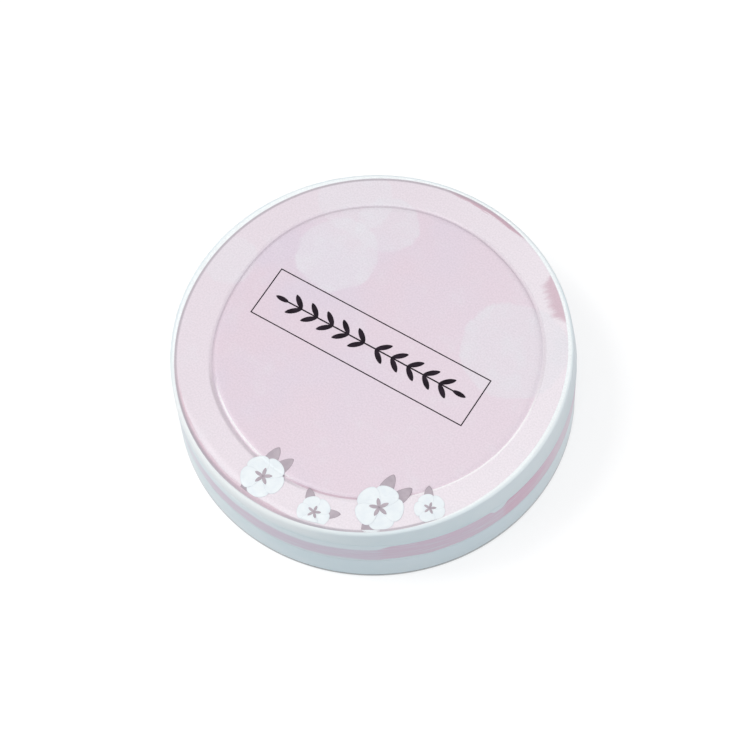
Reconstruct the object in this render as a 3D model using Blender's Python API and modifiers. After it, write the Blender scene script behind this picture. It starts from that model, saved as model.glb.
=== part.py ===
"""Round flat case for cotton tissues.

A lid with a printed film disc lifts off a tub with a printed waist band. The tub holds a stack of
loose round tissues. Metres, +Z up. The origin is the centre of the foot ring, on the case's axis.
"""

import math

import bpy

# Outside of the closed case.
CASE_DIAMETER = 0.0900
CASE_HEIGHT = 0.0215
RIM_FILLET = 0.0012
FOOT_FILLET = 0.0010
EDGE_FILLET = 0.0003

# Walls.
LID_TOP_WALL = 0.0012
SKIRT_WALL = 0.0012
NECK_WALL = 0.0011
FLOOR_WALL = 0.0012
INNER_FILLET = 0.0012

# Parting of lid and tub, measured down from the lid's top.
SKIRT_DEPTH = 0.0048
PARTING_GAP = 0.0003
NECK_CLEARANCE = 0.0003
NECK_TOP_CLEARANCE = 0.0004

# Ring groove pressed into the lid and its film.
GROOVE_INSET = 0.0086
GROOVE_INNER_WALL = 0.0007
GROOVE_OUTER_SLOPE = 0.0016
GROOVE_DEPTH = 0.0005

# Printed films, each lying in a recess that makes it flush.
FILM_THICKNESS = 0.0002
GLUE_GAP = 0.0001
LABEL_EDGE_CLEARANCE = 0.00015
BAND_TOP_MARGIN = 0.0003
BAND_WIDTH = 0.0078
BAND_EDGE_CLEARANCE = 0.0002

# Foot ring under the tub.
FOOT_RING_WIDTH = 0.0042
FOOT_RECESS_DEPTH = 0.0006

# Tissues.
TISSUE_THICKNESS = 0.00075
TISSUE_GAP = 0.0003
TISSUE_EDGE_CLEARANCE = 0.0012
STACK_HEADROOM = 0.0006

# Fineness of the turned shapes.
SHELL_STEPS = 64
TISSUE_STEPS = 48
GROOVE_POINTS = 7
FILLET_POINTS = 5
SCREW_MERGE = 0.00001

# Values that follow from the sizes above.
CASE_RADIUS = CASE_DIAMETER / 2
FILM_SEAT_DEPTH = FILM_THICKNESS + GLUE_GAP
LID_SEAT_Z = CASE_HEIGHT - FILM_SEAT_DEPTH
LID_CEILING_Z = LID_SEAT_Z - LID_TOP_WALL
LID_EDGE_Z = CASE_HEIGHT - SKIRT_DEPTH
SHOULDER_Z = LID_EDGE_Z - PARTING_GAP
SKIRT_INNER_RADIUS = CASE_RADIUS - SKIRT_WALL
LABEL_SEAT_RADIUS = CASE_RADIUS - RIM_FILLET
LABEL_RADIUS = LABEL_SEAT_RADIUS - LABEL_EDGE_CLEARANCE
GROOVE_RADIUS = CASE_RADIUS - GROOVE_INSET
NECK_RADIUS = SKIRT_INNER_RADIUS - NECK_CLEARANCE
NECK_TOP_Z = LID_CEILING_Z - NECK_TOP_CLEARANCE
TUB_INNER_RADIUS = NECK_RADIUS - NECK_WALL
FLOOR_Z = FOOT_RECESS_DEPTH + FLOOR_WALL
BAND_SEAT_TOP_Z = SHOULDER_Z - BAND_TOP_MARGIN
BAND_SEAT_BOTTOM_Z = BAND_SEAT_TOP_Z - BAND_WIDTH
BAND_SEAT_RADIUS = CASE_RADIUS - FILM_SEAT_DEPTH
TISSUE_RADIUS = TUB_INNER_RADIUS - TISSUE_EDGE_CLEARANCE
TISSUE_PITCH = TISSUE_THICKNESS + TISSUE_GAP
STACK_ROOM = LID_CEILING_Z - GROOVE_DEPTH - STACK_HEADROOM - FLOOR_Z
TISSUE_COUNT = math.floor(STACK_ROOM / TISSUE_PITCH)


def clear_scene():
    """Remove every object that the start-up scene holds."""
    for obj in list(bpy.data.objects):
        bpy.data.objects.remove(obj, do_unlink=True)


def new_collection(name):
    """A collection in the scene, for the parts."""
    collection = bpy.data.collections.new(name)
    bpy.context.scene.collection.children.link(collection)
    return collection


def plain_material(name, colour, roughness, metallic=0.0):
    """A Principled material of one colour."""
    material = bpy.data.materials.new(name)
    material.use_nodes = True
    shader = material.node_tree.nodes["Principled BSDF"]
    shader.inputs["Base Color"].default_value = (*colour, 1.0)
    shader.inputs["Roughness"].default_value = roughness
    shader.inputs["Metallic"].default_value = metallic
    return material


def fillet(centre_radius, centre_z, radius, start, end):
    """Points of a quarter round about (centre_radius, centre_z), from one angle to another in degrees."""
    points = []
    for index in range(FILLET_POINTS):
        angle = math.radians(start + (end - start) * index / (FILLET_POINTS - 1))
        points.append((centre_radius + radius * math.cos(angle), centre_z + radius * math.sin(angle)))
    return points


def groove(z):
    """Points across the ring groove, inwards to outwards, on a face that lies at height z.

    The inner wall is steep and the outer one a long slope. They meet at the groove's radius.
    """
    points = []
    for index in range(GROOVE_POINTS):
        across = 2 * index / (GROOVE_POINTS - 1) - 1
        reach = GROOVE_INNER_WALL if across < 0 else GROOVE_OUTER_SLOPE
        drop = GROOVE_DEPTH * math.cos(math.pi / 2 * across) ** 2
        points.append((GROOVE_RADIUS + reach * across, z - drop))
    return points


def turned(name, profile, steps, material, collection, origin_z, closed=False, parent=None):
    """An object turned about the case's axis.

    The profile holds (radius, height) points in the case's frame. It runs down the outer side. An
    open profile starts and ends on the axis, and a closed one makes a ring.
    """
    mesh = bpy.data.meshes.new(name)
    points = [(radius, 0.0, z - origin_z) for radius, z in profile]
    edges = [(index, index + 1) for index in range(len(points) - 1)]
    if closed:
        edges.append((len(points) - 1, 0))
    mesh.from_pydata(points, edges, [])
    mesh.materials.append(material)
    obj = bpy.data.objects.new(name, mesh)
    collection.objects.link(obj)
    obj.location = (0.0, 0.0, origin_z)
    if parent is not None:
        obj.parent = parent
        obj.location = (0.0, 0.0, origin_z - parent.location.z)
    screw = obj.modifiers.new("turn", "SCREW")
    screw.axis = "Z"
    screw.angle = math.tau
    screw.steps = steps
    screw.render_steps = steps
    screw.use_merge_vertices = True
    screw.merge_threshold = SCREW_MERGE
    screw.use_smooth_shade = True
    obj.modifiers.new("shading", "WEIGHTED_NORMAL")
    return obj


def lid_shell_profile():
    """The lid: film recess with its groove, rounded rim, skirt, and the inside of the same wall."""
    profile = [(0.0, LID_SEAT_Z)]
    profile += groove(LID_SEAT_Z)
    profile += [(LABEL_SEAT_RADIUS, LID_SEAT_Z)]
    profile += fillet(LABEL_SEAT_RADIUS, CASE_HEIGHT - RIM_FILLET, RIM_FILLET, 90, 0)
    profile += fillet(CASE_RADIUS - EDGE_FILLET, LID_EDGE_Z + EDGE_FILLET, EDGE_FILLET, 0, -90)
    profile += [(SKIRT_INNER_RADIUS, LID_EDGE_Z)]
    profile += [(SKIRT_INNER_RADIUS, LID_CEILING_Z)]
    profile += reversed(groove(LID_CEILING_Z))
    profile += [(0.0, LID_CEILING_Z)]
    return profile


def lid_label_profile():
    """The printed film on the lid, one thickness all over, following the groove."""
    under = LID_SEAT_Z + GLUE_GAP
    profile = [(0.0, CASE_HEIGHT)]
    profile += groove(CASE_HEIGHT)
    profile += [(LABEL_RADIUS, CASE_HEIGHT), (LABEL_RADIUS, under)]
    profile += reversed(groove(under))
    profile += [(0.0, under)]
    return profile


def base_tub_profile():
    """The tub: floor, inner wall, neck, shoulder, outer wall with the band's recess, foot ring."""
    foot_inner_radius = CASE_RADIUS - FOOT_FILLET - FOOT_RING_WIDTH
    profile = [(0.0, FLOOR_Z)]
    profile += fillet(TUB_INNER_RADIUS - INNER_FILLET, FLOOR_Z + INNER_FILLET, INNER_FILLET, -90, 0)
    profile += [(TUB_INNER_RADIUS, NECK_TOP_Z)]
    profile += fillet(NECK_RADIUS - EDGE_FILLET, NECK_TOP_Z - EDGE_FILLET, EDGE_FILLET, 90, 0)
    profile += [(NECK_RADIUS, SHOULDER_Z)]
    profile += [(CASE_RADIUS, SHOULDER_Z), (CASE_RADIUS, BAND_SEAT_TOP_Z)]
    profile += [(BAND_SEAT_RADIUS, BAND_SEAT_TOP_Z), (BAND_SEAT_RADIUS, BAND_SEAT_BOTTOM_Z)]
    profile += [(CASE_RADIUS, BAND_SEAT_BOTTOM_Z)]
    profile += fillet(CASE_RADIUS - FOOT_FILLET, FOOT_FILLET, FOOT_FILLET, 0, -90)
    profile += [(foot_inner_radius, 0.0), (foot_inner_radius - FOOT_RECESS_DEPTH, FOOT_RECESS_DEPTH)]
    profile += [(0.0, FOOT_RECESS_DEPTH)]
    return profile


def waist_band_profile():
    """The printed strip round the tub, flush with its outer wall."""
    top = BAND_SEAT_TOP_Z - BAND_EDGE_CLEARANCE
    bottom = BAND_SEAT_BOTTOM_Z + BAND_EDGE_CLEARANCE
    inner_radius = CASE_RADIUS - FILM_THICKNESS
    return [(CASE_RADIUS, top), (CASE_RADIUS, bottom), (inner_radius, bottom), (inner_radius, top)]


def tissue_profile(bottom):
    """One loose round tissue lying flat, with its bottom face at the given height."""
    top = bottom + TISSUE_THICKNESS
    return [(0.0, top), (TISSUE_RADIUS, top), (TISSUE_RADIUS, bottom), (0.0, bottom)]


def make_case(collection):
    """The four pieces of the case. The films hang on the shells that carry them."""
    shell_white = plain_material("shell_white", (0.86, 0.90, 0.91), 0.32)
    tub_white = plain_material("tub_white", (0.84, 0.89, 0.90), 0.34)
    label_pink = plain_material("label_pink", (0.78, 0.66, 0.75), 0.45)
    band_pink = plain_material("band_pink", (0.72, 0.52, 0.62), 0.45)
    tub = turned("base_tub", base_tub_profile(), SHELL_STEPS, tub_white, collection, 0.0)
    turned(
        "waist_band", waist_band_profile(), SHELL_STEPS, band_pink, collection, SHOULDER_Z,
        closed=True, parent=tub,
    )
    lid = turned("lid_shell", lid_shell_profile(), SHELL_STEPS, shell_white, collection, LID_EDGE_Z)
    turned(
        "lid_label", lid_label_profile(), SHELL_STEPS, label_pink, collection, CASE_HEIGHT, parent=lid,
    )


def make_tissues(collection):
    """The loose tissues, numbered from the floor up."""
    cotton_white = plain_material("cotton_white", (0.90, 0.89, 0.87), 0.95)
    for index in range(TISSUE_COUNT):
        bottom = FLOOR_Z + TISSUE_GAP + TISSUE_PITCH * index
        turned(
            f"cotton_tissue_{index + 1:02d}", tissue_profile(bottom), TISSUE_STEPS, cotton_white,
            collection, bottom,
        )


def main():
    """Build the case and its tissues."""
    clear_scene()
    collection = new_collection("round_tissue_case")
    make_case(collection)
    make_tissues(collection)


main()
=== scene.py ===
"""Looks of a flat round case for cotton tissues.

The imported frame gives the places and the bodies. This script lays the finished surfaces over it: a
white moulded lid and tub, a printed film on the lid, a painted film round the waist, and the cotton
tissues inside. Metres, +Z up. The case's axis is the Z axis and it stands on z = 0.
"""

import logging
import math
from collections.abc import Callable
from dataclasses import dataclass, field
from enum import Enum

import bpy
import numpy as np
from mathutils import Matrix, Vector


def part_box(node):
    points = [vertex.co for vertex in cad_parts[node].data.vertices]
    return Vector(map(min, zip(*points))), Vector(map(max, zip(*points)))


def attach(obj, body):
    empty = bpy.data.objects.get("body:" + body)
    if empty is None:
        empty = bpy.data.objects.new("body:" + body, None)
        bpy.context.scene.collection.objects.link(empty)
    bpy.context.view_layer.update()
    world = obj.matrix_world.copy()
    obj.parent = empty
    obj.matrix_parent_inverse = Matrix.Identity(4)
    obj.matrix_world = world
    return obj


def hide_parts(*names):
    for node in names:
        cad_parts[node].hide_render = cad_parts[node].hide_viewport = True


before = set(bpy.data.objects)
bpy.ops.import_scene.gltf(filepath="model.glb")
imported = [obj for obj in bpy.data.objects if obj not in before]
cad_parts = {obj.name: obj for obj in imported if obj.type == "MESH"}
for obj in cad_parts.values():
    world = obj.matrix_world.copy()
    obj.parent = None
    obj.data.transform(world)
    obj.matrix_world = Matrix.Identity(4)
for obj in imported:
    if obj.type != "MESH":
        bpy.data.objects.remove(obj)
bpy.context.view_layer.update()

LOG = logging.getLogger("tissue_case")
MM = 0.001

Array = np.ndarray
Socket = bpy.types.NodeSocket
Pair = tuple[float, float]
Colour = tuple[float, float, float]
# A side of the case: its middle and its reach either way in degrees, and the share of it at full strength.
Span = tuple[float, float, float]
# A smooth rise: where it begins and ends, and the values there.
Rise = tuple[float, float, float, float]
# Where most of a noise lies.
NOISE_BODY = (0.3, 0.7)
WHITE: Colour = (1.0, 1.0, 1.0)


class Body(Enum):
    """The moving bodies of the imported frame."""

    TUB = "tub"
    STACK = "stack"
    TOP_TISSUE = "top_tissue"
    LID = "lid"


class Slot(Enum):
    """The record's material slots."""

    SHELL = "shell_white"
    TUB = "tub_white"
    LABEL = "label_print"
    BAND = "band_print"
    COTTON = "cotton"


class Blend(Enum):
    """How a colour is laid over another."""

    OVER = "MIX"
    MULTIPLY = "MULTIPLY"


def paint(red: int, green: int, blue: int) -> Colour:
    """Turn a display colour into the linear one that a shader takes.

    Each channel c of 0 to 1 becomes ((c + 0.055) / 1.055) ** 2.4, or c / 12.92 in the deep shades.

    Args:
        red: Red, 0 to 255.
        green: Green, 0 to 255.
        blue: Blue, 0 to 255.

    Returns:
        The linear colour.
    """
    shown = np.array([red, green, blue]) / 255.0
    linear = np.where(shown <= 0.04045, shown / 12.92, ((shown + 0.055) / 1.055) ** 2.4)
    return tuple(float(channel) for channel in linear)


# Places


def toward(degrees: float, distance: float = 1.0) -> Pair:
    """X and Y of a place in a direction round the axis."""
    turn = math.radians(degrees)
    return (distance * math.cos(turn), distance * math.sin(turn))


def polar(x: Array, y: Array) -> tuple[Array, Array]:
    """Distances from the axis, and angles round it."""
    return np.hypot(x, y), np.arctan2(y, x)


def planar(radius: Array, angle: Array) -> tuple[Array, Array]:
    """X and Y of places by their distance from the axis and their angle round it."""
    return radius * np.cos(angle), radius * np.sin(angle)


def ramp(value: Array, start: float, end: float) -> Array:
    """Share of the way from start to end: (v - start) / (end - start), held between 0 and 1."""
    return np.clip((value - start) / (end - start), 0.0, 1.0)


def eased(share: Array) -> Array:
    """A share that starts and ends gently: s ** 2 * (3 - 2 * s)."""
    return share**2 * (3.0 - 2.0 * share)


# Surfaces


@dataclass
class Surface:
    """Points and faces of one mesh, worked out as whole arrays."""

    points: Array
    faces: list[Array]
    values: dict[str, Array] = field(default_factory=dict)

    def piece(self, name: str, finish: bpy.types.Material, crease_degrees: float = 40.0) -> bpy.types.Object:
        """Make the surface an object at the origin, smooth except where it creases.

        Args:
            name: The piece's name.
            finish: Its material.
            crease_degrees: Edges that bend more than this stay sharp.

        Returns:
            The new object.
        """
        mesh = bpy.data.meshes.new(name)
        faces = [corner for face in self.faces for corner in face.tolist()]
        mesh.from_pydata(self.points.tolist(), [], faces)
        for value_name, values in self.values.items():
            layer = mesh.attributes.new(value_name, "FLOAT", "POINT")
            layer.data.foreach_set("value", np.ascontiguousarray(values, np.float32))
        mesh.shade_smooth()
        mesh.set_sharp_from_angle(angle=math.radians(crease_degrees))
        mesh.materials.append(finish)
        mesh.update()
        piece = bpy.data.objects.new(name, mesh)
        bpy.context.scene.collection.objects.link(piece)
        return piece


def joined(surfaces: list[Surface]) -> Surface:
    """Put surfaces one after another.

    Args:
        surfaces: The surfaces, all with the same named values.

    Returns:
        All of them as one surface.
    """
    starts = np.cumsum([0] + [len(surface.points) for surface in surfaces])
    points = np.concatenate([surface.points for surface in surfaces])
    faces = [face + start for surface, start in zip(surfaces, starts) for face in surface.faces]
    names = surfaces[0].values
    values = {name: np.concatenate([surface.values[name] for surface in surfaces]) for name in names}
    return Surface(points, faces, values)


def grid_faces(rows: int, columns: int, round_columns: bool, round_rows: bool = False) -> Array:
    """Quads of a grid of points, row by row.

    Args:
        rows: Rows of points.
        columns: Points in a row.
        round_columns: Whether each row closes on itself.
        round_rows: Whether the last row joins the first.

    Returns:
        Four point numbers for each quad.
    """
    row, column = np.meshgrid(
        np.arange(rows if round_rows else rows - 1),
        np.arange(columns if round_columns else columns - 1),
        indexing="ij",
    )
    next_row, next_column = (row + 1) % rows, (column + 1) % columns
    corners = [
        row * columns + column,
        next_row * columns + column,
        next_row * columns + next_column,
        row * columns + next_column,
    ]
    return np.stack(corners, axis=-1).reshape(-1, 4)


def arc(centre_radius: float, centre_z: float, radius: float, start: float, end: float, count: int) -> Array:
    """Points of a round in a profile: centre + radius * (cos a, sin a), a from start to end in degrees."""
    across, up = planar(radius, np.radians(np.linspace(start, end, count)))
    return np.stack([centre_radius + across, centre_z + up], axis=1)


def level_rows(radii: Array, level: float) -> Array:
    """Profile rows that lie at one level."""
    return np.stack([radii, np.full_like(radii, level)], axis=1)


def profile_of(*parts: Array | Pair) -> Array:
    """Join (radius, height) points, and runs of them, into one profile with a row for each."""
    return np.concatenate([np.atleast_2d(np.asarray(part, float)) for part in parts])


def turned(profile: Array, steps: int, ring: bool = False) -> Surface:
    """Carry a profile round the axis: (r cos a, r sin a, z) for every profile point and angle a.

    The profile runs down the outer side. An open one starts and ends on the axis, where its rows close
    to one point each, and a ring's last row joins its first.

    Args:
        profile: (radius, height) rows.
        steps: Steps in a full turn.
        ring: Whether the profile is closed.

    Returns:
        The closed surface.
    """
    rows = profile if ring else profile[1:-1]
    angle = np.arange(steps) * math.tau / steps
    radius, height = rows[:, :1], rows[:, 1:]
    levels = np.broadcast_to(height, (len(rows), steps))
    points = np.stack([*planar(radius, angle), levels], axis=-1).reshape(-1, 3)
    faces = [grid_faces(len(rows), steps, True, ring)]
    if ring:
        return Surface(points, faces)
    ends = np.array([[0.0, 0.0, profile[0, 1]], [0.0, 0.0, profile[-1, 1]]])
    step = np.arange(steps)
    following = (step + 1) % steps
    last = (len(rows) - 1) * steps
    first_pole, last_pole = np.full(steps, len(points)), np.full(steps, len(points) + 1)
    faces.append(np.stack([first_pole, step, following], axis=1))
    faces.append(np.stack([last_pole, last + following, last + step], axis=1))
    return Surface(np.concatenate([points, ends]), faces)


def ripples(x: Array, y: Array, wavelength: float, seed: int, waves: int = 12) -> Array:
    """Soft random unevenness: the mean of sines that run in random directions.

    Each wave is sin(tau * (x cos d + y sin d) / w + p), with its own direction d, length w near the
    wavelength, and phase p.

    Args:
        x: First place, in metres.
        y: Second place, in metres.
        wavelength: Middle length of the waves.
        seed: Seed of the draws.
        waves: How many sines are added.

    Returns:
        Heights of about -1 to 1.
    """
    draw = np.random.default_rng(seed)
    direction = draw.uniform(0.0, math.tau, waves)
    length = wavelength * draw.uniform(0.7, 1.4, waves)
    phase = draw.uniform(0.0, math.tau, waves)
    along = x[..., None] * np.cos(direction) + y[..., None] * np.sin(direction)
    return np.sin(math.tau * along / length + phase).sum(axis=-1) / math.sqrt(waves)


# Finishes


class NodeWork:
    """A node tree that is put together node by node."""

    def __init__(self, tree: bpy.types.NodeTree) -> None:
        """Work on this tree."""
        self.tree = tree

    def node(self, kind: str, sockets: dict[int | str, object], **settings: object) -> bpy.types.Node:
        """Add a node.

        Args:
            kind: The node's type.
            sockets: What goes into its inputs, each a socket or a fixed value.
            settings: Its own settings.

        Returns:
            The node.
        """
        made = self.tree.nodes.new(kind)
        for name, value in settings.items():
            setattr(made, name, value)
        for name, value in sockets.items():
            self.feed(made.inputs[name], value)
        return made

    def feed(self, target: Socket, value: object) -> None:
        """Link a socket to an input, or set the input to a fixed value.

        Args:
            target: The input.
            value: A socket, a number, or a tuple.
        """
        if isinstance(value, bpy.types.NodeSocket):
            self.tree.links.new(value, target)
        elif isinstance(value, tuple) and target.type == "RGBA":
            target.default_value = (*value, 1.0)
        else:
            target.default_value = value

    def maths(self, operation: str, first: object, second: object = 0.0) -> Socket:
        """One step of arithmetic on two values."""
        return self.node("ShaderNodeMath", {0: first, 1: second}, operation=operation).outputs["Value"]

    def seen(self) -> Socket:
        """Tell the rays of the camera, of gloss and through glass from the rest.

        Returns:
            1 for those rays, and 0 for the others.
        """
        path = self.node("ShaderNodeLightPath", {}).outputs
        direct = self.maths("MAXIMUM", path["Is Camera Ray"], path["Is Glossy Ray"])
        return self.maths("MAXIMUM", direct, path["Is Transmission Ray"])


class Recipe(NodeWork):
    """A material with a Principled shader."""

    def __init__(self, name: str) -> None:
        """Start a material.

        Args:
            name: Its name.
        """
        self.material = bpy.data.materials.new(name)
        self.material.use_nodes = True
        super().__init__(self.material.node_tree)
        self.shader = self.tree.nodes["Principled BSDF"]

    def set(self, **sockets: object) -> None:
        """Feed the shader's own inputs, named with _ for each space."""
        for name, value in sockets.items():
            self.feed(self.shader.inputs[name.replace("_", " ")], value)

    def place(self) -> Socket:
        """The point's place in the case's frame."""
        return self.node("ShaderNodeTexCoord", {}).outputs["Object"]

    def vector_maths(self, operation: str, *vectors: object) -> bpy.types.NodeOutputs:
        """The outputs of one step of arithmetic on vectors."""
        return self.node("ShaderNodeVectorMath", dict(enumerate(vectors)), operation=operation).outputs

    def stretched(self, vector: Socket, scale: tuple[float, float, float]) -> Socket:
        """The vector with each axis multiplied."""
        return self.vector_maths("MULTIPLY", vector, scale)["Vector"]

    def flattened(self, place: Socket) -> Socket:
        """The place without its height."""
        return self.stretched(place, (1.0, 1.0, 0.0))

    def away_from(self, vector: Socket, centre: tuple[float, float, float] = (0.0, 0.0, 0.0)) -> Socket:
        """Distance of a vector from a fixed point."""
        return self.vector_maths("DISTANCE", vector, centre)["Value"]

    def along(self, vector: Socket, degrees: float) -> Socket:
        """How far a point lies in a direction round the axis."""
        return self.vector_maths("DOT_PRODUCT", vector, (*toward(degrees), 0.0))["Value"]

    def span(
        self,
        flat: Socket,
        degrees: float,
        half_angle: float,
        full: float,
        low: float = 0.0,
        high: float = 1.0,
    ) -> Socket:
        """A value that is raised on one side of the case. It follows the cosine of the angle to its middle.

        Args:
            flat: The place round the axis.
            degrees: The middle of that side.
            half_angle: How far the side reaches either way, in degrees.
            full: Share of the reach in which the value is fully raised.
            low: The value outside.
            high: The raised value.

        Returns:
            The value.
        """
        ends = [math.cos(math.radians(share * half_angle)) for share in (1.0, full)]
        facing = self.along(self.vector_maths("NORMALIZE", flat)["Vector"], degrees)
        return self.between(facing, *ends, low, high)

    def rolled_out(self, flat: Socket, radius: Socket, round_share: float, squeeze: float) -> Socket:
        """A place by its way round the axis and its distance from it, each on its own scale.

        Args:
            flat: The place on the lid.
            radius: Its distance from the axis.
            round_share: Metres of way for each radian.
            squeeze: What the distance is multiplied by.

        Returns:
            The vector (way, distance, 0).
        """
        split = self.node("ShaderNodeSeparateXYZ", {0: flat}).outputs
        way = self.product(self.maths("ARCTAN2", split["Y"], split["X"]), round_share)
        finer = self.product(radius, squeeze)
        return self.node("ShaderNodeCombineXYZ", {0: way, 1: finer}).outputs[0]

    def height(self, vector: Socket) -> Socket:
        """The vector's Z."""
        return self.node("ShaderNodeSeparateXYZ", {0: vector}).outputs["Z"]

    def value_of(self, name: str) -> Socket:
        """The mesh's own value of this name."""
        return self.node("ShaderNodeAttribute", {}, attribute_name=name).outputs["Fac"]

    def noise(self, vector: Socket, pitch: float, detail: float = 2.0, roughness: float = 0.5) -> Socket:
        """Cloudy noise of 0 to 1: blots of a pitch in metres, and so many finer layers of a strength."""
        sockets = {"Vector": vector, "Scale": 1.0 / pitch, "Detail": detail, "Roughness": roughness}
        return self.node("ShaderNodeTexNoise", sockets).outputs["Fac"]

    def product(self, first: object, *factors: object) -> Socket:
        """Multiply values.

        Args:
            first: The first of them.
            factors: The others.

        Returns:
            All of them multiplied together.
        """
        for factor in factors:
            first = self.maths("MULTIPLY", first, factor)
        return first

    def stray(self, noise: Socket, size: float) -> Socket:
        """A noise as a way off its middle: (noise - 0.5) * size."""
        return self.product(self.maths("SUBTRACT", noise, 0.5), size)

    def between(
        self, value: object, start: object, end: object, low: float = 0.0, high: float = 1.0
    ) -> Socket:
        """A smooth rise with the value, from low at start to high at end, and flat outside them."""
        sockets = {"Value": value, "From Min": start, "From Max": end, "To Min": low, "To Max": high}
        return self.node("ShaderNodeMapRange", sockets, interpolation_type="SMOOTHSTEP").outputs["Result"]

    def over(self, factor: object, under: object, top: object, blend: Blend = Blend.OVER) -> Socket:
        """Lay a colour over another.

        Args:
            factor: How much of it, 0 to 1.
            under: The colour below.
            top: The colour laid on.
            blend: How it is laid.

        Returns:
            The mixed colour.
        """
        sockets = {0: factor, 6: under, 7: top}
        made = self.node("ShaderNodeMix", sockets, data_type="RGBA", blend_type=blend.value)
        return made.outputs[2]

    def relief(self, height: Socket, distance: float) -> None:
        """Bend the shader's normal by a height, which is multiplied by the distance."""
        sockets = {"Height": height, "Distance": distance, "Strength": 1.0}
        self.set(Normal=self.node("ShaderNodeBump", sockets).outputs["Normal"])


@dataclass(frozen=True)
class MouldedWhite:
    """Smooth white moulded plastic: a faint flow mottle, handling haze, and a painted highlight on one side
    near the top.
    """

    name: str
    base: Colour = paint(238, 244, 246)
    shade: Colour = paint(231, 240, 243)
    mottle_pitch: float = 16.0 * MM
    mottle_range: Pair = (0.35, 0.65)
    haze_pitch: float = 3.0 * MM
    grain_pitch: float = 0.35 * MM
    grain_height: float = 0.004 * MM
    gloss: Pair = (0.30, 0.40)
    # Painted highlight: a whiter colour on the upper part of one side, near the rim, where the lamps light it
    # most.
    painted_highlight: Colour = paint(253, 254, 254)
    highlight_span: Span = (-106.0, 44.0, 0.5)
    highlight_heights: Pair = (15.5 * MM, 18.5 * MM)
    highlight_radii: Pair = (41.0 * MM, 43.0 * MM)

    def make(self) -> bpy.types.Material:
        """Build the material.

        Returns:
            The material.
        """
        recipe = Recipe(self.name)
        place = recipe.place()
        mottle = recipe.noise(place, self.mottle_pitch, detail=3.0)
        haze = recipe.noise(place, self.haze_pitch, detail=4.0, roughness=0.6)
        flat = recipe.flattened(place)
        # Painted highlight: whiter near the top on one side, within these radii, heights and span.
        painted_highlight = recipe.product(
            recipe.between(recipe.away_from(flat), *self.highlight_radii),
            recipe.between(recipe.height(place), *self.highlight_heights),
            recipe.span(flat, *self.highlight_span),
        )
        colour = recipe.over(recipe.between(mottle, *self.mottle_range), self.base, self.shade)
        recipe.set(
            Base_Color=recipe.over(painted_highlight, colour, self.painted_highlight),
            Roughness=recipe.between(haze, *NOISE_BODY, *self.gloss),
        )
        recipe.relief(recipe.noise(place, self.grain_pitch), self.grain_height)
        return recipe.material


@dataclass(frozen=True)
class Wash:
    """A pale round blot of thinned paint on the film."""

    angle: float
    distance: float
    radius: float
    strength: float

    def centre(self) -> tuple[float, float, float]:
        """Its middle on the lid."""
        return (*toward(self.angle, self.distance), 0.0)


@dataclass(frozen=True)
class RimStroke:
    """A dry brush stroke at the print's edge: how far in it reaches, how ragged and how soft it is.

    Its bristles run along the edge, or across it, by how finely the way round and the distance count.
    """

    angle: float
    half_angle: float
    depth: float
    grit: float
    softness: float
    strength: float
    bristles: Pair = (0.040, 16.0)


@dataclass(frozen=True)
class PaintedCreaseLight:
    """A painted line along the groove on one side of the lid, off the groove's own line: painted shade when
    grey, a painted highlight when white.
    """

    angle: float
    half_angle: float
    offset: float
    half_width: float
    strength: float
    colour: Colour


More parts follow.
